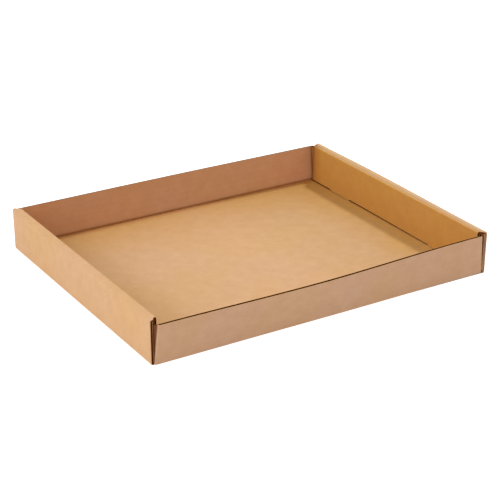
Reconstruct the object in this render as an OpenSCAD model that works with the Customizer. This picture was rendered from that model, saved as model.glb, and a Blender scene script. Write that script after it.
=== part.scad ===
// Open corrugated tray, die-cut from one sheet of board and folded up without glue.
// Each end wall is rolled over a pair of corner flaps and locked into slots in the floor.
// Lengths are millimetres. X runs from end to end, Y from front to back, Z up from the underside.

/* [Tray] */
// Outside length, over the two end walls
tray_l = 381; // [250:1:600]
// Outside width, over the two side walls
tray_w = 310; // [250:1:450]
// Outside height of the end walls
end_h = 45; // [35:1:100]

/* [Board] */
// Thickness of the corrugated board
board_t = 2.5; // [1.6:0.1:4]
// Thickness of each flat liner of the board
liner_t = 0.3; // [0.2:0.05:0.5]
// Thickness of the fluted sheet between the liners
medium_t = 0.25; // [0.15:0.05:0.4]
// Distance from one flute of the board to the next
flute_pitch = 6.4; // [4:0.2:9]
// Inside radius of a fold
fold_r = 0.3; // [0.2:0.05:0.8]

/* [Rolled ends] */
// Air between the layers of an end wall
layer_gap = 0.3; // [0.2:0.05:1]
// Setback of the end walls' cut edges from the side walls
end_inset = 1; // [0.5:0.1:3]
// Space between an inner panel's ends and the side walls
panel_end_gap = 2.5; // [1:0.5:6]
// Height of an inner panel's bottom edge over the floor
panel_lift = 0.5; // [0.3:0.1:2]

/* [Corner flaps] */
// Length of a corner flap, from its fold to its tip
flap_l = 60; // [30:1:90]
// Slope of a flap's edges towards its tip, in degrees
flap_taper = 6; // [2:0.5:10]
// Cut-off at each corner of a flap's tip
flap_chamfer = 6; // [2:0.5:9]
// Space from a flap to the roll over it and to the floor under it
flap_clear = 0.5; // [0.3:0.1:2]

/* [Locking tabs] */
// Length of a tab along the end wall
tab_l = 40; // [25:1:55]
// Narrowing of a tab at each side of its tip
tab_taper = 5; // [2:0.5:8]
// Space between a tab's tip and the underside of the floor
tab_tip_gap = 0.3; // [0.2:0.1:1]
// Distance of each tab from the middle of the end wall
tab_y = 93; // [70:1:110]
// Space in a slot at each end of its tab
slot_end_gap = 2; // [1:0.2:5]
// Width of slot left open in front of its tab
slot_reach = 2.6; // [1.5:0.1:4]
// Slant of a slot's ends in front of its tab
slot_slant = 7; // [2:0.5:11]

/* [Hidden] */
$fn = 64;
kraft = [0.74, 0.56, 0.38];
// Overlap that a cutting shape has past the face it cuts
cut_over = 0.5;
// Straight steps that follow the curve of a flute
flute_steps = 8;
// Part of a flute's half turn, in degrees, over which its gap is wide enough to show
gap_span = 150;

flute_depth = flute_pitch / 2;
fold_outer_r = board_t + fold_r;
floor_half_l = tray_l / 2 - fold_outer_r;
floor_half_w = tray_w / 2 - fold_outer_r;
side_h = end_h - board_t - flap_clear;
side_rise = side_h - fold_outer_r;

// Layers of an end wall, outside to inside: outer panel, corner flaps, inner panel
flap_x = tray_l / 2 - 2 * board_t - layer_gap - fold_r;
corner_x = flap_x - fold_r;
panel_x = flap_x - layer_gap - board_t;
end_w = tray_w - 2 * end_inset;
panel_w = tray_w - 2 * (board_t + panel_end_gap);
panel_bottom = board_t + panel_lift;
end_rise = end_h - 2 * fold_outer_r;
strip_out_x = tray_l / 2 - fold_outer_r;
strip_in_x = panel_x + fold_outer_r;

flap_low = board_t + flap_clear - fold_outer_r;
flap_shoulder = flap_l - flap_chamfer;
flap_shoulder_h = flap_top_z(flap_shoulder) - flap_low_z(flap_shoulder);
tab_tip_l = tab_l - 2 * tab_taper;
slot_l = tab_l + 2 * slot_end_gap;
slot_front_l = slot_l - 2 * slot_slant;
slot_in_x = panel_x - slot_reach;
slot_out_x = panel_x + board_t + layer_gap;
tab_places = [-tab_y, tab_y];

function flap_top_z(y) = side_rise - y * tan(flap_taper);
function flap_low_z(y) = flap_low + y * tan(flap_taper);
function flute_point(i) = [
    liner_t + (board_t - 2 * liner_t) * (1 - cos(180 * i / flute_steps)) / 2,
    flute_depth * i / flute_steps
];
function gap_point(turn) = [
    liner_t + (board_t - 2 * liner_t - medium_t) * (1 + cos(turn)) / 2,
    flute_pitch * turn / 360
];

// Runs a section drawn in Y and Z along X
module along_x(length) {
    rotate([90, 0, 90]) linear_extrude(length, center = true) children();
}

// Runs a section drawn in X and Z along Y
module along_y(length) {
    rotate([90, 0, 0]) linear_extrude(length, center = true) children();
}

// Section of a fold about its axis, from one direction round through the bend
module fold_section(from, bend) {
    reach = 2 * fold_outer_r;
    intersection() {
        difference() {
            circle(fold_outer_r);
            circle(fold_r);
        }
        polygon([
            [0, 0],
            reach * [cos(from), sin(from)],
            reach * [cos(from + bend / 2), sin(from + bend / 2)],
            reach * [cos(from + bend), sin(from + bend)]
        ]);
    }
}

// Half a flute laid open by a cut along it, its mouth on X between the two liners
module open_flute() {
    polygon(concat(
        [[board_t - liner_t, -cut_over], [liner_t, -cut_over]],
        [for (i = [0 : flute_steps]) flute_point(i)]
    ));
}

// Gaps that a cut across the flutes leaves beside one liner and the other in turn, along Y
module flute_gaps(length) {
    count = max(0, floor(length / flute_pitch) - 1);
    for (i = [-count : count]) {
        far = abs(i) % 2;
        translate([far * board_t, i * flute_pitch / 2]) mirror([far, 0]) polygon(concat(
            [[liner_t, gap_point(gap_span)[1]], [liner_t, gap_point(-gap_span)[1]]],
            [for (k = [0 : flute_steps]) gap_point(gap_span * (2 * k / flute_steps - 1))]
        ));
    }
}

// Front wall and its two flaps, standing on the axis of its bottom fold
module side_wall() {
    translate([0, -floor_half_w, fold_outer_r]) {
        along_x(2 * corner_x) fold_section(180, 90);
        difference() {
            along_x(2 * corner_x) translate([-fold_outer_r, 0]) square([board_t, side_rise]);
            along_x(2 * corner_x + cut_over) translate([-fold_outer_r, side_rise])
                mirror([0, 1]) open_flute();
        }
        corner_flap();
        mirror([1, 0, 0]) corner_flap();
    }
}

// Fold at the end of a side wall and the flap that it turns inwards
module corner_flap() {
    translate([corner_x, 0, 0]) {
        linear_extrude(side_rise) fold_section(-90, 90);
        rotate([90, 0, 90]) rotate([0, 0, 180]) rotate_extrude(angle = 90) fold_section(0, 90);
    }
    translate([flap_x, 0, 0]) difference() {
        rotate([90, 0, 90]) linear_extrude(board_t) polygon([
            [0, flap_low_z(0)],
            [flap_shoulder, flap_low_z(flap_shoulder)],
            [flap_l, flap_low_z(flap_l) + flap_chamfer],
            [flap_l, flap_top_z(flap_l) - flap_chamfer],
            [flap_shoulder, flap_top_z(flap_shoulder)],
            [0, flap_top_z(0)]
        ]);
        translate([0, flap_l + cut_over, flap_low_z(flap_shoulder) + flap_shoulder_h / 2])
            rotate([90, 0, 0]) linear_extrude(cut_over + flap_chamfer + flute_depth)
                flute_gaps(flap_shoulder_h);
    }
}

module end_wall() {
    outer_panel();
    roll_strip();
    inner_panel();
}

module outer_panel() {
    along_y(end_w) {
        translate([strip_out_x, fold_outer_r]) fold_section(-90, 90);
        translate([strip_out_x, end_h - fold_outer_r]) fold_section(0, 90);
    }
    translate([tray_l / 2 - board_t, 0, fold_outer_r]) fluted_panel(end_w, end_rise);
}

// Upright panel across the tray, its flutes standing open at both cut edges
module fluted_panel(width, height) {
    difference() {
        translate([0, -width / 2, 0]) cube([board_t, width, height]);
        for (back = [0, 1]) mirror([0, back, 0])
            translate([0, -width / 2, -cut_over]) linear_extrude(height + 2 * cut_over) open_flute();
    }
}

// Top of the roll, narrowed from the outer panel's width to the inner panel's
module roll_strip() {
    translate([0, 0, end_h - board_t]) linear_extrude(board_t) polygon([
        [strip_out_x, -end_w / 2], [strip_out_x, end_w / 2],
        [strip_in_x, panel_w / 2], [strip_in_x, -panel_w / 2]
    ]);
}

module inner_panel() {
    along_y(panel_w) translate([strip_in_x, end_h - fold_outer_r]) fold_section(90, 90);
    translate([panel_x, 0, panel_bottom])
        fluted_panel(panel_w, end_h - fold_outer_r - panel_bottom);
    for (y = tab_places) translate([panel_x, y, 0]) locking_tab();
}

module locking_tab() {
    difference() {
        rotate([90, 0, 90]) linear_extrude(board_t) polygon([
            [-tab_l / 2, panel_bottom], [tab_l / 2, panel_bottom],
            [tab_tip_l / 2, tab_tip_gap], [-tab_tip_l / 2, tab_tip_gap]
        ]);
        linear_extrude(panel_bottom) flute_gaps(tab_tip_l);
    }
}

// Slot in the floor, with the ends of the flutes that it cuts through
module tab_slot() {
    flute_end = (slot_out_x + floor_half_l) / 2;
    translate([0, 0, -cut_over]) linear_extrude(board_t + 2 * cut_over) polygon([
        [slot_in_x, -slot_front_l / 2], [panel_x, -slot_l / 2],
        [slot_out_x, -slot_l / 2], [slot_out_x, slot_l / 2],
        [panel_x, slot_l / 2], [slot_in_x, slot_front_l / 2]
    ]);
    translate([flute_end, 0, 0]) rotate([0, -90, 0])
        linear_extrude(flute_end - slot_in_x + flute_depth) flute_gaps(slot_front_l);
}

module floor_panel() {
    difference() {
        translate([-floor_half_l, -floor_half_w, 0])
            cube([2 * floor_half_l, 2 * floor_half_w, board_t]);
        for (left = [0, 1], y = tab_places) mirror([left, 0, 0]) translate([0, y, 0]) tab_slot();
    }
}

module tray() {
    color(kraft) {
        floor_panel();
        for (back = [0, 1]) mirror([0, back, 0]) side_wall();
        for (left = [0, 1]) mirror([left, 0, 0]) end_wall();
    }
}

tray();
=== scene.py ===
"""Open corrugated tray, folded up from one die-cut sheet of brown kraft board.

The sheet is meshed panel by panel with its real thickness, open flutes at the cut edges, and the
spring and bow that the folded board has taken. Lengths are metres. X runs from end to end, Y from
front to back and Z up from the underside.
"""

import math

import bmesh
import bpy
import numpy as np
from mathutils import Matrix, Vector


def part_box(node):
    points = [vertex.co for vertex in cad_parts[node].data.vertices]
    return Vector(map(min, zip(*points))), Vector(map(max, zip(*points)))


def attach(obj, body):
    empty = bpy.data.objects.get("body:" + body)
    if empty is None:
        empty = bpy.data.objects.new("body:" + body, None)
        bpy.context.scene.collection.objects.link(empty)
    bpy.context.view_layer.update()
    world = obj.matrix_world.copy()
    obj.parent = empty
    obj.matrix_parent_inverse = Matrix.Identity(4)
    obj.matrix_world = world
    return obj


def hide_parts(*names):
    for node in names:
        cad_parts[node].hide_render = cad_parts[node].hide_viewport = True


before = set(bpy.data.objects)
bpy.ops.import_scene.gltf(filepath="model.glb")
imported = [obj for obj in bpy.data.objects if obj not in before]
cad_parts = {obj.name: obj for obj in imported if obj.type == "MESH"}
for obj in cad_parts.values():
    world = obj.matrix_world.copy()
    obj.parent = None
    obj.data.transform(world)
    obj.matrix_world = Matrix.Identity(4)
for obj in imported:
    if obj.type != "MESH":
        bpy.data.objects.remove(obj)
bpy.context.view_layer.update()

MM = 0.001


def in_mm(*marks):
    """Pairs of a place and a distance that are given in millimetres."""
    return tuple((place * MM, distance * MM) for place, distance in marks)


# Sizes of the tray
tray_low, tray_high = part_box("tray")
TRAY_L, TRAY_W, END_H = tray_high - tray_low

# Board
BOARD_T = 2.5 * MM
LINER_T = 0.3 * MM
MEDIUM_T = 0.25 * MM
FLUTE_PITCH = 6.4 * MM
FLUTE_OPEN = 2.4 * MM
FOLD_R = 0.3 * MM
FOLD_OUTER_R = BOARD_T + FOLD_R

# Rolled ends
LAYER_GAP = 0.3 * MM
END_INSET = 1.0 * MM
PANEL_END_GAP = 2.5 * MM
PANEL_LIFT = 1.4 * MM

# Corner flaps
FLAP_L = 60 * MM
FLAP_CHAMFER = 6 * MM
FLAP_TAPER = math.radians(5)
FLAP_TOP_SLOPE = math.radians(11)
FLAP_CLEAR = 0.5 * MM
# Depth of the slanted cut that frees a flap's top beside its fold
FLAP_RELIEF = 2.5 * MM

# Locking tabs and their slots
TAB_L = 40 * MM
TAB_TAPER = 5 * MM
TAB_TIP_GAP = 0.3 * MM
TAB_PLACES = (-93 * MM, 93 * MM)
SLOT_END_GAP = 2 * MM
SLOT_REACH = 2.6 * MM
SLOT_SLANT = 7 * MM

# Places that follow from the sizes
FLOOR_HALF_L = TRAY_L / 2 - FOLD_OUTER_R
FLOOR_HALF_W = TRAY_W / 2 - FOLD_OUTER_R
SIDE_RISE = END_H - BOARD_T - FLAP_CLEAR - FOLD_OUTER_R
CORNER_X = TRAY_L / 2 - 2 * BOARD_T - LAYER_GAP - 2 * FOLD_R
PANEL_X = CORNER_X + FOLD_R - LAYER_GAP - BOARD_T
PANEL_BOTTOM = BOARD_T + PANEL_LIFT
STRIP_OUT_X = FLOOR_HALF_L
STRIP_IN_X = PANEL_X + FOLD_OUTER_R
END_HALF_W = TRAY_W / 2 - END_INSET
PANEL_HALF_W = TRAY_W / 2 - BOARD_T - PANEL_END_GAP
SLOT_IN_X = PANEL_X - SLOT_REACH
SLOT_OUT_X = PANEL_X + BOARD_T + LAYER_GAP
SLOT_HALF_L = TAB_L / 2 + SLOT_END_GAP
SLOT_FRONT_HALF_L = SLOT_HALF_L - SLOT_SLANT

# How finely the sheet is meshed
FLUTE_STEP = FLUTE_PITCH / 4
FLOOR_STEP = 9 * MM
PANEL_STEP = 4.5 * MM
FOLD_STEPS = 6
FLAP_STEP = 5.5 * MM
BEND_STEPS = 4
STRIP_STEP = 1 * MM
TAB_ROWS = 3
# Distance from a fold to the next row of a panel, short so that the fold stays crisp
CREASE_HOLD = 0.3 * MM
# Length at each side of a rolled end over which the mesh narrows to the inner panel
SQUEEZE_L = 14 * MM
# Lengths that differ by less are equal
TOUCH = 1e-9

# Spring of the side walls: how far the top and the foot stand out, left to right
FRONT_TOP_OUT = in_mm((-185, 5.5), (-30, 7.1), (185, 0.1))
FRONT_FOOT_OUT = in_mm((-185, 0.9), (-30, 0.2), (185, -1.6))
BACK_TOP_OUT = in_mm((-185, 5.6), (0, 8.4), (185, 5.2))
BACK_FOOT_OUT = in_mm((-185, 0.0), (185, 0.0))
# How far in the feet of the inner panels stand, front to back
RIGHT_PANEL_IN = in_mm((-60, 2.0), (55, 1.0))
LEFT_PANEL_IN = in_mm((-60, 0.2), (55, 0.5))
# How far out the top of the right outer panel bows, front to back
RIGHT_TOP_OUT = in_mm((-150, 0.8), (60, 3.3), (150, 2.2))
# Power with which the pull of a side wall's foot fades over the floor
FOOT_FADE = 30
# Depth to which each flute is crushed where a fold crosses it
FOLD_CRUSH = 0.12 * MM
# Powers that square the outside of a fold, 2 being a plain arc: long folds and those of the flaps
FOLD_SQUARE = 6
CORNER_SQUARE = 8
# How deep the score on the inside of a side wall's bottom fold is pressed in, at its sides and middle
SCORE_SIDE = 0.5 * MM
SCORE_MIDDLE = 0.4 * MM
# How far the two front corners, by end and side, have pulled in at their tops
CORNER_PULL = {(-1, -1): 2.2 * MM, (1, -1): 2.4 * MM}
# How far that reaches along the wall, and along the flap at each end
PULL_ALONG_WALL = 20 * MM
PULL_ALONG_FLAP = {-1: 5 * MM, 1: 2.6 * MM}
# Share of an open flute's depth that is left where it is crushed at a fold or a corner
SHUT = 0.15

# Material slots of the tray
OUTSIDE, INSIDE, CUT_EDGE, SHADED_FLUTING, LIT_FLUTING = range(5)


def eased(at, marks):
    """Values between a few marks of a place and a value, eased in and out of each."""
    places, values = zip(*marks)
    at = np.clip(at, places[0], places[-1])
    step = np.clip(np.searchsorted(places, at, side="right") - 1, 0, len(places) - 2)
    start, end = np.array(places)[step], np.array(places)[step + 1]
    turn = (1 - np.cos(np.pi * (at - start) / (end - start))) / 2
    return np.array(values)[step] * (1 - turn) + np.array(values)[step + 1] * turn


def steps(start, end, size):
    """Evenly spaced places from start to end, about a size apart."""
    return np.linspace(start, end, max(2, round(abs(end - start) / size) + 1))


def snapped(places, marks):
    """The places with the nearest one moved on to each mark."""
    out = places.copy()
    for mark in marks:
        out[np.argmin(abs(out - mark))] = mark
    return out


def points(x, y, z):
    """Points as one array, from coordinates that are arrays or single numbers."""
    return np.stack(np.broadcast_arrays(x, y, z), axis=-1)


def fold_radius(turn, power=FOLD_SQUARE):
    """Outer radius of a scored fold, which is squarer than an arc, at a turn of 0 to 1."""
    angle = turn * np.pi / 2
    return FOLD_OUTER_R / (np.cos(angle) ** power + np.sin(angle) ** power) ** (1 / power)


def scored_radius(turn):
    """Inner radius of a side wall's bottom fold, pressed in by the score, at a turn of 0 to 1."""
    return FOLD_R + SCORE_SIDE + SCORE_MIDDLE * np.sin(np.pi * turn)


def crushed(along, turn):
    """Loss of radius where a fold crosses the flutes, for a place along it and a turn of 0 to 1."""
    return FOLD_CRUSH * np.sin(np.pi * turn) * (0.5 + 0.5 * np.cos(2 * np.pi * along / FLUTE_PITCH))


# The sheet as grids: each has its two faces, its place on the flat sheet and the cells it fills

def sheet_grid(outer, inner, flat, cells, deep_face="inner"):
    """A grid of the sheet, with what its cut edges need to know."""
    return {
        "outer": outer,
        "inner": inner,
        "flat": flat,
        "cells": cells,
        # Columns and rows where the sheet goes on into another grid
        "joined": set(),
        # Face beside which a flute that lies open along a cut is deepest
        "deep_face": deep_face,
        # Rows whose open flute faces the light, and is painted in the lit copy of the fluting colour
        "lit_rows": set(),
        # Share of their depth to which the flutes stand open
        "opened": np.ones(cells.shape + np.array([1, 1])),
        # Direction into the sheet at each point of a cut edge
        "inwards": {},
    }


FLOOR_Y = snapped(
    steps(-FLOOR_HALF_W, FLOOR_HALF_W, FLUTE_STEP),
    [tab + side * half for tab in TAB_PLACES for side in (-1, 1) for half in (TAB_L / 2, SLOT_HALF_L)],
)
FLOOR_X = np.array(sorted(
    [*steps(-SLOT_IN_X + FLOOR_STEP, SLOT_IN_X - FLOOR_STEP, FLOOR_STEP)]
    + [end * x for end in (-1, 1) for x in (SLOT_IN_X, PANEL_X, CORNER_X, SLOT_OUT_X, FLOOR_HALF_L)]
))
WALL_RISES = steps(SIDE_RISE, 0, FLUTE_STEP)
FOLD_TURNS = np.linspace(0, 1, FOLD_STEPS + 1)


def side_stance(side, x):
    """Axis of a side wall's bottom fold, and the wall's outward way, upward way and lean along it."""
    top, foot = (FRONT_TOP_OUT, FRONT_FOOT_OUT) if side < 0 else (BACK_TOP_OUT, BACK_FOOT_OUT)
    foot_out = eased(x, foot)
    lean = np.arctan2(eased(x, top) - foot_out, SIDE_RISE)
    axis = points(x, side * (FLOOR_HALF_W + foot_out), FOLD_OUTER_R)
    outward = points(0 * x, side * np.cos(lean), -np.sin(lean))
    upward = points(0 * x, side * np.sin(lean), np.cos(lean))
    return axis, outward, upward, lean


def corner_pull(end, side, rise):
    """How far a corner has pulled in at a rise above its bottom fold."""
    return CORNER_PULL.get((end, side), 0.0) * rise / SIDE_RISE


def side_rows(side):
    """Rows of a side wall from its top edge to the floor: outer face and inner face."""
    axis, outward, upward, lean = side_stance(side, FLOOR_X)
    near_end = np.clip(1 - (CORNER_X - abs(FLOOR_X)) / PULL_ALONG_WALL, 0, 1)
    wall = []
    for rise in WALL_RISES:
        left_pull, right_pull = (corner_pull(end, side, rise) for end in (-1, 1))
        pull = near_end * np.where(FLOOR_X < 0, left_pull, -right_pull)
        base = axis + upward * rise + points(pull, 0 * pull, 0 * pull)
        inner_r = FOLD_R if rise > 0 else scored_radius(0)
        wall.append((base + outward * FOLD_OUTER_R, base + outward * inner_r))
    fold = []
    for turn in FOLD_TURNS[1:-1]:
        angle = lean + turn * (np.pi / 2 - lean)
        way = points(0 * angle, side * np.cos(angle), -np.sin(angle))
        fold.append((axis + way * fold_radius(turn), axis + way * scored_radius(turn)))
    return wall + fold


def floor_rows():
    """Rows of the floor from front to back, stretched to meet the feet of the side walls."""
    front_axis, back_axis = side_stance(-1, FLOOR_X)[0], side_stance(1, FLOOR_X)[0]
    rows = []
    for y in FLOOR_Y:
        share = (y + FLOOR_HALF_W) / (2 * FLOOR_HALF_W)
        foot = np.where(abs(FLOOR_X) > CORNER_X + LAYER_GAP / 2, 0, 1)
        front_shift = (front_axis[:, 1] + FLOOR_HALF_W) * (1 - share) ** FOOT_FADE
        back_shift = (back_axis[:, 1] - FLOOR_HALF_W) * share ** FOOT_FADE
        row_y = y + (front_shift + back_shift) * foot
        for tab in TAB_PLACES:
            if abs(y - tab) <= SLOT_HALF_L + TOUCH:
                narrowed = tab + (y - tab) * SLOT_FRONT_HALF_L / SLOT_HALF_L
                row_y = np.where(np.isclose(abs(FLOOR_X), SLOT_IN_X), narrowed, row_y)
        at_score = (abs(y) > FLOOR_HALF_W - FLUTE_STEP / 2) & (abs(FLOOR_X) < CORNER_X + LAYER_GAP / 2)
        top_z = BOARD_T - SCORE_SIDE * at_score
        rows.append((points(FLOOR_X, row_y, 0.0), points(FLOOR_X, row_y, top_z)))
    return rows


def floor_and_sides():
    """The floor with its slots and the two side walls, as one grid of rows across the tray."""
    front, middle, back = side_rows(-1), floor_rows(), side_rows(1)[::-1]
    rows = front + middle + back
    outer, inner = (np.array([row[face] for row in rows]) for face in (0, 1))
    centre = (outer + inner) / 2
    run = np.linalg.norm(np.diff(centre[:, len(FLOOR_X) // 2], axis=0), axis=1)
    across = np.concatenate([[0], np.cumsum(run)])
    across -= across[-1] / 2
    flat = np.stack(np.broadcast_arrays(FLOOR_X[None, :], across[:, None]), axis=-1)
    on_floor = slice(len(front), len(front) + len(middle))
    flat[on_floor, :, 1] = centre[on_floor, :, 1]
    x_mid = (FLOOR_X[1:] + FLOOR_X[:-1]) / 2
    cells = np.ones((len(rows) - 1, len(FLOOR_X) - 1), bool)
    cells[: len(front)] &= abs(x_mid) < CORNER_X
    cells[len(front) + len(middle) - 1 :] &= abs(x_mid) < CORNER_X
    y_mid = (FLOOR_Y[1:] + FLOOR_Y[:-1]) / 2
    in_slot_x = (abs(x_mid) > SLOT_IN_X) & (abs(x_mid) < SLOT_OUT_X)
    for tab in TAB_PLACES:
        in_slot_y = abs(y_mid - tab) < SLOT_HALF_L
        cells[len(front) : len(front) + len(middle) - 1] &= ~(in_slot_y[:, None] & in_slot_x[None, :])
    grid = sheet_grid(outer, inner, flat, cells)
    near_end = abs(FLOOR_X) > CORNER_X - LAYER_GAP
    near_side = abs(FLOOR_Y) > FLOOR_HALF_W - FLUTE_PITCH
    grid["opened"][on_floor][near_side[:, None] & near_end[None, :]] = SHUT
    for x in (-FLOOR_HALF_L, -CORNER_X, CORNER_X, FLOOR_HALF_L):
        grid["joined"].add(("column", int(np.argmin(abs(FLOOR_X - x)))))
    return grid


def creased(start, end):
    """Places along a panel between two folds, the first and last close to them."""
    hold = math.copysign(CREASE_HOLD, end - start)
    return steps(start + hold, end - hold, PANEL_STEP)


def end_section():
    """Rows of a right-hand rolled end's section: fold axis in X and Z, way out of it and turn."""
    rows = []
    low, high = FOLD_OUTER_R, END_H - FOLD_OUTER_R
    rightwards, upwards, leftwards = (1, 0), (0, 1), (-1, 0)

    def fold(axis, start, skip):
        for turn in FOLD_TURNS[skip:]:
            angle = start + turn * np.pi / 2
            rows.append((axis, (math.cos(angle), math.sin(angle)), turn))

    def panel(places, way):
        for place in places:
            rows.append((place, way, 0.0))

    fold((STRIP_OUT_X, low), -np.pi / 2, 0)
    panel([(STRIP_OUT_X, z) for z in (*creased(low, high), high)], rightwards)
    fold((STRIP_OUT_X, high), 0, 1)
    panel([(x, high) for x in steps(STRIP_OUT_X, STRIP_IN_X, STRIP_STEP)[1:]], upwards)
    fold((STRIP_IN_X, high), np.pi / 2, 1)
    panel([(STRIP_IN_X, z) for z in (*creased(high, PANEL_BOTTOM), PANEL_BOTTOM)], leftwards)
    tab_places = np.linspace(PANEL_BOTTOM, TAB_TIP_GAP, TAB_ROWS + 1)[1:]
    panel([(STRIP_IN_X, z) for z in tab_places], leftwards)
    return rows


def rolled_end(end):
    """One rolled end: bottom fold, outer panel, top strip and inner panel with its two tabs."""
    section = end_section()
    y = np.array([-END_HALF_W, *FLOOR_Y, END_HALF_W])
    squeeze_from = END_HALF_W - SQUEEZE_L
    squeeze = (PANEL_HALF_W - squeeze_from) / (END_HALF_W - squeeze_from)
    tucked = np.sign(y) * (squeeze_from + (abs(y) - squeeze_from) * squeeze)
    panel_y = np.where(abs(y) > squeeze_from, tucked, y)
    panel_in = eased(panel_y, RIGHT_PANEL_IN if end > 0 else LEFT_PANEL_IN)
    top_out = eased(y, RIGHT_TOP_OUT) if end > 0 else 0 * y
    outer, inner = [], []
    for (axis_x, axis_z), (way_x, way_z), turn in section:
        narrow = min(max((STRIP_OUT_X - axis_x) / (STRIP_OUT_X - STRIP_IN_X), 0), 1)
        row_y = y * (1 - narrow) + panel_y * narrow
        on_panel = axis_x <= STRIP_IN_X
        depth = max(PANEL_BOTTOM - axis_z, 0) * on_panel / (PANEL_BOTTOM - TAB_TIP_GAP)
        for tab in TAB_PLACES:
            in_tab = abs(y - tab) < TAB_L / 2 + TOUCH
            tapered = tab + (y - tab) * (1 - depth * 2 * TAB_TAPER / TAB_L)
            row_y = np.where(in_tab, tapered, row_y)
        hang = (END_H - FOLD_OUTER_R - axis_z) / (END_H - FOLD_OUTER_R - PANEL_BOTTOM)
        lean_in = panel_in * hang * on_panel * (way_x <= 0)
        stood = (axis_z - FOLD_OUTER_R) / (END_H - 2 * FOLD_OUTER_R)
        lean = lean_in - top_out * stood * (1 - narrow)
        radius = fold_radius(turn) - crushed(row_y, turn)
        outer.append(points(end * (axis_x + way_x * radius - lean), row_y, axis_z + way_z * radius))
        inner.append(points(end * (axis_x + way_x * FOLD_R - lean), row_y, axis_z + way_z * FOLD_R))
    outer, inner = np.array(outer), np.array(inner)
    middle = (outer + inner)[:, len(y) // 2] / 2
    run = np.linalg.norm(np.diff(middle, axis=0), axis=1)
    along = FLOOR_HALF_L + np.concatenate([[0], np.cumsum(run)])
    flat = np.stack(np.broadcast_arrays(end * along[:, None], y[None, :]), axis=-1)
    cells = np.ones((len(section) - 1, len(y) - 1), bool)
    y_mid = (y[1:] + y[:-1]) / 2
    cells[-TAB_ROWS:] = np.any([abs(y_mid - tab) < TAB_L / 2 for tab in TAB_PLACES], axis=0)
    grid = sheet_grid(outer, inner, flat, cells, deep_face="outer" if end < 0 else "inner")
    folded = np.array([turn > 0 or way_z != 0 for _, (_, way_z), turn in section])
    grid["opened"][folded] = SHUT
    # Open flutes in the right end's rows that face the lamp get the painted light of the lit fluting
    # copy
    if end > 0:
        grid["lit_rows"].update(k for k, (_, (way_x, _), _) in enumerate(section) if way_x > 0)
    grid["joined"].update(("row", 0, j) for j in range(1, len(y) - 2))
    return grid


def corner_flap(end, side):
    """Fold at the end of a side wall, the pinched corner under it and the flap tucked into the end."""
    axis, outward, upward, lean = (a[0] for a in side_stance(side, np.array([end * CORNER_X])))
    out_end = np.array([end, 0.0, 0.0])
    columns = [("fold", turn) for turn in FOLD_TURNS]
    reach = PULL_ALONG_FLAP[end]
    by_fold = steps(0, reach, reach / BEND_STEPS)[1:]
    shoulders = [*by_fold, *steps(reach, FLAP_L - FLAP_CHAMFER, FLAP_STEP)[1:], FLAP_L]
    columns += [("flap", d) for d in shoulders]
    rows = [("wall", rise) for rise in WALL_RISES] + [("pinch", turn) for turn in FOLD_TURNS[1:]]
    outer, inner, flat = [], [], []
    for kind, at in rows:
        for part, where in columns:
            turn = where if part == "fold" else 1.0
            radius = fold_radius(turn, CORNER_SQUARE)
            if kind == "wall":
                radius -= crushed(at, turn)
            else:
                radius *= 1 + (fold_radius(at) / FOLD_OUTER_R - 1) * math.cos(turn * np.pi / 2)
            away = outward
            rise = at if kind == "wall" else 0.0
            if kind == "pinch":
                angle = lean + at * (np.pi / 2 - lean)
                away = np.array([0.0, side * math.cos(angle), -math.sin(angle)])
            way = away * math.cos(turn * np.pi / 2) + out_end * math.sin(turn * np.pi / 2)
            d = where if part == "flap" else 0.0
            if part == "flap":
                clipped = max(d - (FLAP_L - FLAP_CHAMFER), 0)
                top = SIDE_RISE - d * math.tan(FLAP_TOP_SLOPE) - min(d, FLAP_RELIEF) - clipped
                low = d * math.tan(FLAP_TAPER) + clipped
                rise = low + (top - low) * rise / SIDE_RISE
            bent = (1 + math.cos(math.pi * min(d / reach, 1))) / 2
            base = axis + upward * rise - outward * d - out_end * bent * corner_pull(end, side, rise)
            outer.append(base + way * radius)
            on_score = math.cos(turn * np.pi / 2) if kind == "pinch" or at <= 0 else 0.0
            score = scored_radius(at if kind == "pinch" else 0.0) - FOLD_R
            inner.append(base + way * (FOLD_R + score * on_score))
            run = d + turn * FOLD_OUTER_R
            flat.append((end * (CORNER_X + run), side * (FLOOR_HALF_W + FOLD_OUTER_R + rise)))
    shape = (len(rows), len(columns))
    outer, inner = np.array(outer).reshape(*shape, 3), np.array(inner).reshape(*shape, 3)
    cells = np.ones((shape[0] - 1, shape[1] - 1), bool)
    cells[len(WALL_RISES) - 1 :, FOLD_STEPS:] = False
    grid = sheet_grid(outer, inner, np.array(flat).reshape(*shape, 2), cells)
    # Shut round the pinched corner and at the tip of the flap
    grid["opened"][len(WALL_RISES) - 1 :, : FOLD_STEPS + 2] = SHUT
    grid["opened"][:, -2:] = SHUT
    grid["joined"].add(("column", 0))
    return grid


# Turning the grids into one closed mesh

# Sections of a cut edge as a share of the thickness, outer face to inner face, and a depth:
# half a flute laid open by a cut along it, or the hollow that a cut across the flutes opens
CORE_EDGE = LINER_T / BOARD_T
FLUTE_TURNS = 6
LIT_FACES = 3
flute_turn = np.linspace(0, np.pi, FLUTE_TURNS + 1)
flute_share = (1 - np.cos(flute_turn)) / 2
core_share = np.array([*(CORE_EDGE + (1 - 2 * CORE_EDGE) * flute_share), 1 - CORE_EDGE])
HALF_FLUTE = np.stack([core_share, [*(FLUTE_PITCH / 2 * flute_turn / np.pi), 0.0]], axis=1)
ACROSS_HOLLOW = np.stack([core_share, [0.0, *[FLUTE_OPEN] * FLUTE_TURNS, 0.0]], axis=1)
ACROSS_HOLLOW[1, 0] = CORE_EDGE
# Finishes over the section of a cut edge, and those of a flute whose slope faces the light, which gets
# the painted lit copy of the fluting colour
CUT_FINISH = (CUT_EDGE, *[SHADED_FLUTING] * (FLUTE_TURNS + 1), CUT_EDGE)
LIT_FINISH = (CUT_EDGE, *[LIT_FLUTING] * LIT_FACES, *[SHADED_FLUTING] * (FLUTE_TURNS + 2 - LIT_FACES))
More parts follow.
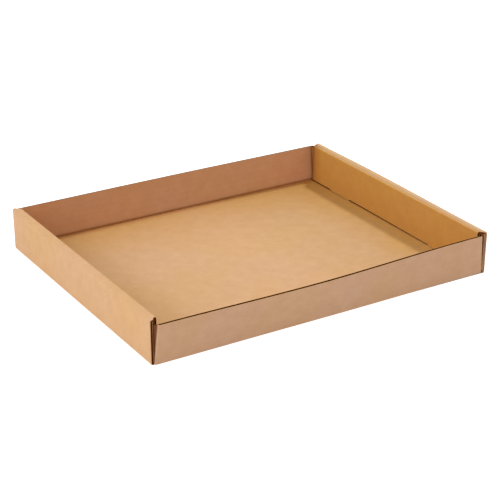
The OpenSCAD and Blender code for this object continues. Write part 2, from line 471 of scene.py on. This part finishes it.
# Sides of the opening that two mitred flutes leave between them
CORNER_SIDES = 2 * (FLUTE_TURNS + 1)
# Points closer than this are one, and edges shorter than the second length are dropped
MERGE_DIST = 0.002 * MM
SEAM_DIST = 0.001 * MM
# Added to a length before dividing by it
TINY = 1e-12
# Angle in degrees from which an edge of the tray is crisp
CRISP_ANGLE = 40


def unit(vector):
    """A vector scaled to a length of 1."""
    return vector / (np.linalg.norm(vector) + TINY)


def in_scene(name, data):
    """A new object in the scene."""
    obj = bpy.data.objects.new(name, data)
    bpy.context.scene.collection.objects.link(obj)
    return obj


class FoldedSheet:
    """Vertices, faces, finishes and flat places of the board as it is put together."""

    def __init__(self):
        self.places, self.faces, self.finishes, self.flat_of = [], [], [], []
        self.flute_ends = []

    def vertex(self, place, flat):
        self.places.append(tuple(place))
        self.flat_of.append(tuple(flat))
        return len(self.places) - 1

    def face(self, corners, finish):
        self.faces.append(corners)
        self.finishes.append(finish)

    def add(self, grid):
        """Adds both faces of a grid and a cut edge wherever its filled cells end."""
        outer, inner, flat, cells = (grid[key] for key in ("outer", "inner", "flat", "cells"))
        rows, columns = outer.shape[:2]
        top, under = {}, {}
        for k in range(rows):
            for j in range(columns):
                if cells[max(k - 1, 0) : k + 1, max(j - 1, 0) : j + 1].any():
                    top[k, j] = self.vertex(outer[k, j], flat[k, j])
                    under[k, j] = self.vertex(inner[k, j], flat[k, j])
        filled = np.argwhere(cells).tolist()
        k, j = filled[len(filled) // 2]
        side_a, side_b = outer[k, j + 1] - outer[k, j], outer[k + 1, j] - outer[k, j]
        turned = np.dot(np.cross(side_a, side_b), outer[k, j] - inner[k, j]) < 0
        borders = []
        for k, j in filled:
            ring = [(k, j), (k, j + 1), (k + 1, j + 1), (k + 1, j)]
            beyond = [(k - 1, j), (k, j + 1), (k + 1, j), (k, j - 1)]
            sides = [(ring[i], ring[(i + 1) % 4], beyond[i]) for i in range(4)]
            if turned:
                ring = ring[::-1]
                sides = [(b, a, past) for a, b, past in sides]
            self.face([top[c] for c in ring], OUTSIDE)
            self.face([under[c] for c in ring[::-1]], INSIDE)
            for a, b, (bk, bj) in sides:
                goes_on = 0 <= bk < rows - 1 and 0 <= bj < columns - 1 and cells[bk, bj]
                if not goes_on and not self.is_joined(grid, a, b):
                    borders.append((a, b, (k, j)))
        self.cut_edges(grid, borders, top, under)

    @staticmethod
    def is_joined(grid, a, b):
        """Whether the sheet goes on into another grid at the edge from a to b."""
        along_column = a[1] == b[1] and ("column", a[1]) in grid["joined"]
        along_row = a[0] == b[0] and ("row", a[0], min(a[1], b[1])) in grid["joined"]
        return along_column or along_row

    def cut_edges(self, grid, borders, top, under):
        """Closes the borders with two liner edges and the open flutes between them."""
        outer, inner, flat = grid["outer"], grid["inner"], grid["flat"]
        centre = (outer + inner) / 2
        into, cut_across = {}, {}
        for a, b, (k, j) in borders:
            run = unit(centre[b] - centre[a])
            middle = centre[k : k + 2, j : j + 2].reshape(-1, 3).mean(axis=0)
            towards = middle - (centre[a] + centre[b]) / 2
            inwards = unit(towards - run * np.dot(towards, run))
            along, across = abs(flat[b] - flat[a])
            for c in (a, b):
                into.setdefault(c, []).append(inwards)
                cut_across[c] = cut_across.get(c, False) or across > along
            if across > along:
                self.flute_ends.append((grid, a, b))
        profile = {}
        for c, ways in into.items():
            mitre = sum(ways) / (1 + np.dot(ways[0], ways[-1])) if len(ways) == 2 else unit(sum(ways))
            grid["inwards"][c] = unit(mitre)
            section = ACROSS_HOLLOW if cut_across[c] else HALF_FLUTE
            if grid["deep_face"] == "outer":
                section = [(1 - share, depth) for share, depth in section[::-1]]
            ring = [top[c]]
            for share, depth in section:
                place = outer[c] * (1 - share) + inner[c] * share + mitre * depth * grid["opened"][c]
                ring.append(self.vertex(place, flat[c]))
            profile[c] = ring + [under[c]]
        for a, b, _ in borders:
            finishes = LIT_FINISH if {a[0], b[0]} <= grid["lit_rows"] else CUT_FINISH
            for i, finish in enumerate(finishes):
                self.face([profile[b][i], profile[a][i], profile[a][i + 1], profile[b][i + 1]], finish)

    @staticmethod
    def close_corners(work):
        """Closes the flutes at the corners where two panels' cut edges meet."""
        open_edges = [edge for edge in work.edges if edge.is_boundary]
        for face in bmesh.ops.holes_fill(work, edges=open_edges, sides=CORNER_SIDES)["faces"]:
            face.material_index = SHADED_FLUTING
        bmesh.ops.recalc_face_normals(work, faces=work.faces)

    def as_object(self, name):
        """The board as one closed mesh that carries its flat places as the UV map sheet."""
        mesh = bpy.data.meshes.new(name)
        mesh.from_pydata(self.places, [], self.faces)
        mesh.polygons.foreach_set("material_index", self.finishes)
        sheet = mesh.uv_layers.new(name="sheet")
        flats = np.array(self.flat_of)[[loop.vertex_index for loop in mesh.loops]]
        sheet.data.foreach_set("uv", flats.ravel())
        work = bmesh.new()
        work.from_mesh(mesh)
        bmesh.ops.remove_doubles(work, verts=work.verts, dist=MERGE_DIST)
        bmesh.ops.dissolve_degenerate(work, edges=work.edges, dist=SEAM_DIST)
        self.close_corners(work)
        work.to_mesh(mesh)
        work.free()
        return in_scene(name, mesh)


def smooth_by_angle(obj, degrees):
    """Smooth faces, with edges sharper than the angle kept crisp."""
    mesh = obj.data
    mesh.polygons.foreach_set("use_smooth", [True] * len(mesh.polygons))
    work = bmesh.new()
    work.from_mesh(mesh)
    for edge in work.edges:
        edge.smooth = len(edge.link_faces) == 2 and edge.calc_face_angle() < math.radians(degrees)
    work.to_mesh(mesh)
    work.free()


body_grid = floor_and_sides()
end_grids = {end: rolled_end(end) for end in (-1, 1)}
flap_grids = {(end, side): corner_flap(end, side) for end in (-1, 1) for side in (-1, 1)}

board = FoldedSheet()
for grid in (body_grid, *end_grids.values(), *flap_grids.values()):
    board.add(grid)
tray = board.as_object("folded_tray")
smooth_by_angle(tray, CRISP_ANGLE)


def add_node(tree, kind, inputs=None, **settings):
    """A node with its settings, and each named input linked to a socket or set to a value."""
    node = tree.nodes.new(kind)
    for name, value in settings.items():
        setattr(node, name, value)
    for name, value in (inputs or {}).items():
        if isinstance(value, bpy.types.NodeSocket):
            tree.links.new(value, node.inputs[name])
        else:
            node.inputs[name].default_value = value
    return node


def math_node(tree, operation, *terms):
    """The result of an operation on sockets and numbers."""
    return add_node(tree, "ShaderNodeMath", dict(enumerate(terms)), operation=operation).outputs[0]


def noise(tree, place, scale, detail, roughness=0.5):
    """A cloudy value about 0.5 over a place."""
    inputs = {"Vector": place, "Scale": scale, "Detail": detail, "Roughness": roughness}
    return add_node(tree, "ShaderNodeTexNoise", inputs).outputs["Fac"]


def ranged(tree, value, low, high, to_low=0.0, to_high=1.0):
    """A value moved from one range to another and kept inside it."""
    inputs = {"Value": value, "From Min": low, "From Max": high, "To Min": to_low, "To Max": to_high}
    return add_node(tree, "ShaderNodeMapRange", inputs).outputs["Result"]


def mixed(tree, share, first, second, blend_type="MIX"):
    """Two colours mixed, the second as far as the share says."""
    inputs = {"Fac": share, "Color1": first, "Color2": second}
    return add_node(tree, "ShaderNodeMixRGB", inputs, blend_type=blend_type).outputs["Color"]


def ramp(tree, share, stops):
    """A colour for a share of 0 to 1, through stops of a share and a colour."""
    node = add_node(tree, "ShaderNodeValToRGB", {"Fac": share})
    elements = node.color_ramp.elements
    for place, _ in stops[1:-1]:
        elements.new(place)
    for element, (place, colour) in zip(elements, stops):
        element.position = place
        element.color = (*colour, 1)
    return node.outputs["Color"]


# Kraft paper: pale and deep colours of its parts, the fluting's given as a dark copy that is painted
# shade and a pale copy that is painted light, then the roughness and gloss of each finish

KRAFT = ((0.575, 0.352, 0.19), (0.525, 0.308, 0.154))
EDGE = ((0.5, 0.27, 0.09), (0.4, 0.2, 0.06))
# Painted shade: the fluting is far darker than its paper, for the shade in the flute hollows
FLUTE_SHADED = ((0.14, 0.03, 0.003), (0.09, 0.018, 0.002))
# Painted light: a paler copy of the fluting for open flutes that face the lamp
FLUTE_LIT = ((0.52, 0.32, 0.24), (0.42, 0.25, 0.18))
LINER_FINISH = (0.85, 0.2)
EDGE_FINISH = (0.95, 0.1)
FLUTE_FINISH = (0.95, 0.02)
PAPER_RELIEF = 0.05 * MM

# Cloudy formation and drawn-out fibres, in scale and detail, and how much of the tone is fibre
CLOUD = {"scale": 75.0, "detail": 6.0, "roughness": 0.62}
FIBRE_STRETCH = (130.0, 620.0, 0.0)
FIBRE_DETAIL = 4.0
FIBRE_TONE = 0.3
# Washboard over the flutes, in tone and in height
WASHBOARD_TONE = 0.015
WASHBOARD_HEIGHT = 0.35
# Range of the cloudy tone that runs from deep to pale
TONE_RANGE = (0.26, 0.74)
# Slow drift between a yellower and a bluer tint
DRIFT = {"scale": 11.0, "detail": 2.0}
DRIFT_STOPS = ((0.36, (1.0, 0.985, 0.9)), (0.64, (1.0, 0.99, 1.03)))
# Dark specks, and the range of their noise over which they darken to the shade
FLECK = {"scale": 520.0, "detail": 2.0}
FLECK_RANGE = (0.64, 0.74)
FLECK_SHADE = 0.86


def kraft_grain_group():
    """Cloudy formation, fibres and specks of kraft paper, and the faint washboard over the flutes."""
    group = bpy.data.node_groups.new("kraft_grain", "ShaderNodeTree")
    face = group.interface
    face.new_socket("Sheet", in_out="INPUT", socket_type="NodeSocketVector")
    face.new_socket("Pale", in_out="INPUT", socket_type="NodeSocketColor")
    face.new_socket("Deep", in_out="INPUT", socket_type="NodeSocketColor")
    face.new_socket("Color", in_out="OUTPUT", socket_type="NodeSocketColor")
    face.new_socket("Height", in_out="OUTPUT", socket_type="NodeSocketFloat")
    given = add_node(group, "NodeGroupInput").outputs
    sheet = given["Sheet"]
    cloud = noise(group, sheet, **CLOUD)
    drawn = add_node(group, "ShaderNodeVectorMath", {0: sheet, 1: FIBRE_STRETCH}, operation="MULTIPLY")
    fibre = noise(group, drawn.outputs[0], 1.0, FIBRE_DETAIL)
    split = add_node(group, "ShaderNodeSeparateXYZ", {"Vector": sheet}).outputs
    wave = math_node(group, "SINE", math_node(group, "MULTIPLY", split["Y"], 2 * math.pi / FLUTE_PITCH))
    fine = math_node(group, "MULTIPLY_ADD", fibre, FIBRE_TONE, -FIBRE_TONE / 2)
    both = math_node(group, "ADD", cloud, fine)
    lined = math_node(group, "MULTIPLY_ADD", wave, WASHBOARD_TONE, both)
    tone = mixed(group, ranged(group, lined, *TONE_RANGE), given["Deep"], given["Pale"])
    drift = ramp(group, noise(group, sheet, **DRIFT), DRIFT_STOPS)
    drifted = mixed(group, 1.0, tone, drift, "MULTIPLY")
    speck = ranged(group, noise(group, sheet, **FLECK), *FLECK_RANGE, 1.0, FLECK_SHADE)
    specked = mixed(group, 1.0, drifted, speck, "MULTIPLY")
    height = math_node(group, "MULTIPLY_ADD", wave, WASHBOARD_HEIGHT, both)
    add_node(group, "NodeGroupOutput", {"Color": specked, "Height": height})
    return group


kraft_grain = kraft_grain_group()


def tinted(tree, sheet, colour, tints):
    """A colour tinted by the place on the flat sheet, the tints being painted light and shade.

    Each tint runs over one axis of the sheet, through stops of a place and a colour, and is kept to a
    range of the other axis.
    """
    split = add_node(tree, "ShaderNodeSeparateXYZ", {"Vector": sheet}).outputs
    for axis, stops, other, (low, high) in tints:
        start, end = stops[0][0], stops[-1][0]
        shares = [((place - start) / (end - start), tint) for place, tint in stops]
        tint = ramp(tree, ranged(tree, split[axis], start, end), shares)
        within = math_node(tree, "COMPARE", split[other], (low + high) / 2, (high - low) / 2)
        colour = mixed(tree, within, colour, tint, "MULTIPLY")
    return colour


def kraft_material(name, colours, finish, tints=()):
    """Kraft paper with its grain and finish, and painted light and shade tinted in by place where tints
    are given.
    """
    material = bpy.data.materials.new(name)
    material.use_nodes = True
    tree = material.node_tree
    tree.nodes.clear()
    pale, deep = colours
    roughness, gloss = finish
    sheet = add_node(tree, "ShaderNodeUVMap", uv_map="sheet").outputs["UV"]
    grain = add_node(tree, "ShaderNodeGroup", {
        "Sheet": sheet, "Pale": (*pale, 1), "Deep": (*deep, 1),
    }, node_tree=kraft_grain).outputs
    bump = add_node(tree, "ShaderNodeBump", {"Height": grain["Height"], "Distance": PAPER_RELIEF})
    paper = add_node(tree, "ShaderNodeBsdfPrincipled", {
        "Base Color": tinted(tree, sheet, grain["Color"], tints) if tints else grain["Color"],
        "Roughness": roughness,
        "Specular IOR Level": gloss,
        "Normal": bump.outputs["Normal"],
    })
    add_node(tree, "ShaderNodeOutputMaterial", {"Surface": paper.outputs["BSDF"]})
    return material


# Tints by place: painted light and shade, which set the panels apart and darken the folds and corners

def stops_from(origin, *stops):
    """Stops of a place and a tint, the places given in millimetres from an origin."""
    return tuple((origin + distance * MM, tint) for distance, tint in stops)


# Place on the flat sheet where an inner panel starts, and how far the sheet reaches
PANEL_FLAT_X = FLOOR_HALF_L + END_H + STRIP_OUT_X - STRIP_IN_X
SHEET_REACH = PANEL_FLAT_X + END_H
# Plain, then colours of painted light and shade that the tints below multiply in
PLAIN = (1.0, 1.0, 1.0)
ROLLED_SHADE = (0.965, 0.765, 0.325)
SIDE_OUTSIDE_SHADE = (0.875, 0.87, 1.0)
SIDE_INSIDE_BOUNCE = (1.06, 0.89, 0.88)
BACK_RIGHT_LIGHT = (1.04, 1.05, 1.05)
SCORE_SHADE = (0.7, 0.5, 0.3)
UNDER_ROLL_SHADE = (0.4, 0.14, 0.01)
FOLD_SHADE = (0.6, 0.44, 0.32)
TUCKED_SHADE = (0.3, 0.18, 0.11)

# Painted light and shade: the rolled panels are yellow below their top folds for the warm bounce light
# in their shade, and the right one has a band of crease shade at its fold and a painted highlight that
# makes it brighter at its top
ROLLED_LIGHT_AND_SHADE = (
    *stops_from(-PANEL_FLAT_X, (-2.5, ROLLED_SHADE), (-1.5, PLAIN)),
    *stops_from(PANEL_FLAT_X, (-1.5, PLAIN), (0.5, (0.85, 0.9, 0.88)), (2.7, (0.76, 0.77, 0.7))),
    *stops_from(PANEL_FLAT_X, (3.3, (1.015, 0.85, 0.375)), (12, (1.0, 0.83, 0.36)), (32, ROLLED_SHADE)),
)
# Painted shade: the right one is dark towards the back corner, where the back wall shades it
ROLLED_CORNER_SHADE = stops_from(
    END_HALF_W, (-22, PLAIN), (-8, (0.8, 0.72, 0.66)), (-3, (0.62, 0.5, 0.44)), (0, (0.42, 0.3, 0.24)),
)
# Painted shade: the outsides of the side walls are less yellow than the rest, for the light that falls
# on faces turned to the front and back
OUTER_SIDE_SHADE = (
    *stops_from(-FLOOR_HALF_W, (-1, SIDE_OUTSIDE_SHADE), (0, PLAIN)),
    *stops_from(FLOOR_HALF_W, (0, PLAIN), (1, SIDE_OUTSIDE_SHADE)),
)
# Painted shade: the flaps are dark past the fold, where they lie in the gap of the rolled end
TUCKED_TONES = (
    *stops_from(-CORNER_X, (-3.2, TUCKED_SHADE), (-2.5, PLAIN)),
    *stops_from(CORNER_X, (2.5, PLAIN), (3.2, TUCKED_SHADE)),
)
# Painted shade: the floor is deeper in tone at the left, yellower and darker towards the right for the
# shadow and warm bounce of the right roll, and dark under the right roll
FLOOR_SHADE_TONES = (
    *stops_from(0, (-165, (0.87, 0.85, 0.75)), (-100, PLAIN), (20, PLAIN)),
    *stops_from(0, (120, (0.915, 0.915, 0.83)), (157, (0.84, 0.805, 0.57))),
    *stops_from(PANEL_X, (-8, (0.89, 0.8, 0.44)), (-1.4, (0.93, 0.82, 0.45)), (-1.1, UNDER_ROLL_SHADE)),
    (FLOOR_HALF_L, UNDER_ROLL_SHADE),
)
# Painted shade: towards the back it is yellower too, up to the dark score at the foot of the back wall,
# which is painted crease shade, and the insides of the side walls are redder with painted warm bounce
# light
INNER_SIDE_SHADE_TONES = (
    *stops_from(-FLOOR_HALF_W, (-1, SIDE_INSIDE_BOUNCE), (0, PLAIN)),
    *stops_from(0, (30, PLAIN), (70, (0.965, 0.95, 0.91)), (110, (0.91, 0.86, 0.74))),
    *stops_from(0, (135, (0.845, 0.785, 0.59)), (142, (0.8, 0.725, 0.51)), (147, (0.7, 0.55, 0.36))),
    *stops_from(FLOOR_HALF_W, (0, SCORE_SHADE), (2.5, SCORE_SHADE), (6, SIDE_INSIDE_BOUNCE)),
)
# Painted light and shade: the back wall is paler towards the right, and dark in the fold of its right
# flap
BACK_WALL_LIGHT_AND_SHADE = (
    *stops_from(0, (-140, (0.94, 0.91, 0.89)), (-20, (0.935, 0.94, 0.93)), (85, (0.965, 1.0, 1.0))),
    *stops_from(0, (145, BACK_RIGHT_LIGHT)),
    *stops_from(CORNER_X, (-2.5, BACK_RIGHT_LIGHT), (-1, FOLD_SHADE)),
    (CORNER_X + FOLD_OUTER_R, FOLD_SHADE),
)
FULL_SHEET = (-SHEET_REACH, SHEET_REACH)
ON_FRONT = (-FLOOR_HALF_W - END_H, -FLOOR_HALF_W - FOLD_OUTER_R)
ON_BACK = (FLOOR_HALF_W + FOLD_OUTER_R, FLOOR_HALF_W + END_H)
# Painted light and shade on the outside and the inside liners
OUTSIDE_LIGHT_AND_SHADE = (
    ("X", ROLLED_LIGHT_AND_SHADE, "Y", FULL_SHEET),
    ("Y", ROLLED_CORNER_SHADE, "X", (PANEL_FLAT_X, SHEET_REACH)),
    ("Y", OUTER_SIDE_SHADE, "X", FULL_SHEET),
    ("X", TUCKED_TONES, "Y", ON_FRONT),
    ("X", TUCKED_TONES, "Y", ON_BACK),
)
INSIDE_LIGHT_AND_SHADE = (
    ("X", FLOOR_SHADE_TONES, "Y", (-FLOOR_HALF_W, FLOOR_HALF_W)),
    ("Y", INNER_SIDE_SHADE_TONES, "X", (-FLOOR_HALF_L, FLOOR_HALF_L)),
    ("X", BACK_WALL_LIGHT_AND_SHADE, "Y", ON_BACK),
)

# Fluting in its dark copy, painted shade of the flute hollows
shaded_fluting_paper = kraft_material("shaded_fluting_paper", FLUTE_SHADED, FLUTE_FINISH)
# In the order of the tray's material slots
tray_materials = (
    kraft_material("outside_liner", KRAFT, LINER_FINISH, OUTSIDE_LIGHT_AND_SHADE),
    kraft_material("inside_liner", KRAFT, LINER_FINISH, INSIDE_LIGHT_AND_SHADE),
    kraft_material("cut_edge", EDGE, EDGE_FINISH),
    shaded_fluting_paper,
    kraft_material("open_flute", FLUTE_LIT, FLUTE_FINISH),
)
for material in tray_materials:
    tray.data.materials.append(material)


# Ends of the flutes, where the board is cut across them

WAVE_HEIGHT = (BOARD_T - 2 * LINER_T - MEDIUM_T) / 2
WAVE_STEP = FLUTE_PITCH / 8


def flute_end_tree():
    """Nodes that run the fluted sheet along a cut: a wave across the edge, set back into the board."""
    tree = bpy.data.node_groups.new("flute_ends", "GeometryNodeTree")
    face = tree.interface
    face.new_socket("Geometry", in_out="INPUT", socket_type="NodeSocketGeometry")
    for name in ("Wave Height", "Wave Step", "Depth", "Sheet Thickness"):
        face.new_socket(name, in_out="INPUT", socket_type="NodeSocketFloat")
    face.new_socket("Paper", in_out="INPUT", socket_type="NodeSocketMaterial")
    face.new_socket("Geometry", in_out="OUTPUT", socket_type="NodeSocketGeometry")
    given = add_node(tree, "NodeGroupInput").outputs

    def carried(name, kind):
        named = add_node(tree, "GeometryNodeInputNamedAttribute", {"Name": name}, data_type=kind)
        return named.outputs["Attribute"]

    across, inwards = carried("across", "FLOAT_VECTOR"), carried("inwards", "FLOAT_VECTOR")
    turn = carried("flute_turn", "FLOAT")
    curve = add_node(tree, "GeometryNodeMeshToCurve", {"Mesh": given["Geometry"]})
    fine = add_node(tree, "GeometryNodeResampleCurve", {
        "Curve": curve.outputs["Curve"], "Length": given["Wave Step"],
    }, mode="LENGTH")
    line = add_node(tree, "GeometryNodeCurveToMesh", {"Curve": fine.outputs["Curve"]})
    swing = math_node(tree, "MULTIPLY", math_node(tree, "SINE", turn), given["Wave Height"])
    shift = add_node(tree, "ShaderNodeVectorMath", {0: across, "Scale": swing}, operation="SCALE")
    waved = add_node(tree, "GeometryNodeSetPosition", {
        "Geometry": line.outputs["Mesh"], "Offset": shift.outputs["Vector"],
    })
    sheet = add_node(tree, "GeometryNodeExtrudeMesh", {
        "Mesh": waved.outputs["Geometry"], "Offset": inwards, "Offset Scale": given["Depth"],
    }, mode="EDGES")
    back = add_node(tree, "GeometryNodeFlipFaces", {"Mesh": sheet.outputs["Mesh"]})
    front = add_node(tree, "GeometryNodeExtrudeMesh", {
        "Mesh": sheet.outputs["Mesh"], "Offset Scale": given["Sheet Thickness"], "Individual": False,
    }, mode="FACES")
    both = add_node(tree, "GeometryNodeJoinGeometry")
    tree.links.new(back.outputs["Mesh"], both.inputs["Geometry"])
    tree.links.new(front.outputs["Mesh"], both.inputs["Geometry"])
    closed = add_node(tree, "GeometryNodeMergeByDistance", {
        "Geometry": both.outputs["Geometry"], "Distance": SEAM_DIST,
    })
    place = add_node(tree, "GeometryNodeInputPosition")
    mapped = add_node(tree, "GeometryNodeStoreNamedAttribute", {
        "Geometry": closed.outputs["Geometry"], "Name": "sheet", "Value": place.outputs["Position"],
    }, data_type="FLOAT2", domain="CORNER")
    real = add_node(tree, "GeometryNodeRealizeInstances", {"Geometry": mapped.outputs["Geometry"]})
    papered = add_node(tree, "GeometryNodeSetMaterial", {
        "Geometry": real.outputs["Geometry"], "Material": given["Paper"],
    })
    add_node(tree, "NodeGroupOutput", {"Geometry": papered.outputs["Geometry"]})
    return tree


def cut_lines(flute_ends):
    """The cuts across the flutes as a mesh of edges that carry the flutes' direction and turn."""
    index, places, across, inwards, turns, edges = {}, [], [], [], [], []
    for grid, *pair in flute_ends:
        for corner in pair:
            if (id(grid), corner) not in index:
                index[id(grid), corner] = len(places)
                outer, inner = grid["outer"][corner], grid["inner"][corner]
                places.append((outer + inner) / 2)
                across.append(unit(inner - outer))
                inwards.append(grid["inwards"][corner])
                turns.append(2 * math.pi * grid["flat"][corner][1] / FLUTE_PITCH)
        edges.append([index[id(grid), corner] for corner in pair])
    mesh = bpy.data.meshes.new("flute_ends")
    mesh.from_pydata(places, edges, [])
    for name, values in (("across", across), ("inwards", inwards)):
        mesh.attributes.new(name, "FLOAT_VECTOR", "POINT").data.foreach_set("vector", np.ravel(values))
    mesh.attributes.new("flute_turn", "FLOAT", "POINT").data.foreach_set("value", turns)
    return mesh


def flute_end_piece():
    """The cut ends of all the flutes as one plain mesh."""
    tree = flute_end_tree()
    piece = in_scene("flute_ends", cut_lines(board.flute_ends))
    nodes = piece.modifiers.new("flute_ends", "NODES")
    nodes.node_group = tree
    values = {
        "Wave Height": WAVE_HEIGHT,
        "Wave Step": WAVE_STEP,
        "Depth": FLUTE_OPEN,
        "Sheet Thickness": MEDIUM_T,
        "Paper": shaded_fluting_paper,
    }
    for socket in tree.interface.items_tree:
        if socket.in_out == "INPUT" and socket.name in values:
            nodes[socket.identifier] = values[socket.name]
    shaped = piece.evaluated_get(bpy.context.evaluated_depsgraph_get())
    mesh = bpy.data.meshes.new_from_object(shaped)
    # The nodes leave an empty slot before the paper's
    mesh.materials.pop(index=0)
    piece.modifiers.clear()
    piece.data = mesh
    return piece


flute_ends = flute_end_piece()

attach(tray, "root")
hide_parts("tray")
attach(flute_ends, "root")


# Table, camera and light

WHITE = (1, 1, 1, 1)
TABLE_REACH = 6.0
TABLE_Z = -0.2 * MM
TABLE_GREY = (0.6, 0.6, 0.6, 1)
TABLE_GLOW = 0.7
# Painted shade: the dark brown part of the table under the tray, and how far it stays inside the tray's
# outline
UNDER_TRAY_SHADE = (0.05, 0.03, 0.02, 1)
SHADE_INSET = 2 * MM

CAMERA_PLACE = (-0.73921, -1.23907, 0.6473)
CAMERA_RIGHT = Vector((0.856, -0.51696, -0.00439))
CAMERA_UP = Vector((0.21192, 0.34313, 0.91507))
SENSOR_MM = 36
LENS_MM = 109.93
CLIP_END = 20

# Name, place, side in metres and watts
LIGHTS = (
    ("overhead", (-0.15, -0.6, 1.4), 1.0, 7.8),
    ("key", (1.36, 0.85, 2.4), 0.34, 43),
    ("left_fill", (-2.0, -0.2, 1.0), 1.2, 21),
)
WORLD_LIGHT = 0.45


def plain_material(name, sockets):
    """A material with some sockets of its one shader set."""
    material = bpy.data.materials.new(name)
    material.use_nodes = True
    shader = material.node_tree.nodes["Principled BSDF"]
    for socket, value in sockets.items():
        shader.inputs[socket].default_value = value
    return material


def table_top():
    """A bright table whose face under the tray is unlit, and painted dark brown as shade."""
    mesh = bpy.data.meshes.new("table")
    shade_x, shade_y = TRAY_L / 2 - SHADE_INSET, TRAY_W / 2 - SHADE_INSET
    corners = ((-1, -1), (1, -1), (1, 1), (-1, 1))
    places = [
        (x * reach_x, y * reach_y, TABLE_Z)
        for reach_x, reach_y in ((shade_x, shade_y), (TABLE_REACH, TABLE_REACH)) for x, y in corners
    ]
    around = [(i, i + 4, (i + 1) % 4 + 4, (i + 1) % 4) for i in range(4)]
    mesh.from_pydata(places, [], [(0, 1, 2, 3), *around])
    mesh.materials.append(plain_material("table_paper", {
        "Base Color": TABLE_GREY, "Roughness": 1.0, "Specular IOR Level": 0.0,
        "Emission Color": WHITE, "Emission Strength": TABLE_GLOW,
    }))
    mesh.materials.append(plain_material("under_tray_shade", {"Base Color": UNDER_TRAY_SHADE, "Roughness": 1.0}))
    mesh.polygons[0].material_index = 1
    return in_scene("table", mesh)


table = table_top()

lens = bpy.data.cameras.new("camera")
lens.sensor_width = SENSOR_MM
lens.lens = LENS_MM
lens.clip_end = CLIP_END
camera = in_scene("camera", lens)
camera_axes = Matrix((CAMERA_RIGHT, CAMERA_UP, CAMERA_RIGHT.cross(CAMERA_UP))).transposed()
camera.matrix_world = Matrix.Translation(CAMERA_PLACE) @ camera_axes.to_4x4()
bpy.context.scene.camera = camera

# Square panels of light that face the tray
for name, place, side, watts in LIGHTS:
    lamp = bpy.data.lights.new(name, "AREA")
    lamp.shape = "SQUARE"
    lamp.size = side
    lamp.energy = watts
    facing = Vector(place).to_track_quat("Z", "Y").to_matrix().to_4x4()
    in_scene(name, lamp).matrix_world = Matrix.Translation(place) @ facing

world = bpy.data.worlds.new("studio")
world.use_nodes = True
backdrop = world.node_tree.nodes["Background"]
backdrop.inputs["Color"].default_value = WHITE
backdrop.inputs["Strength"].default_value = WORLD_LIGHT
bpy.context.scene.world = world
bpy.context.scene.view_settings.view_transform = "Standard"
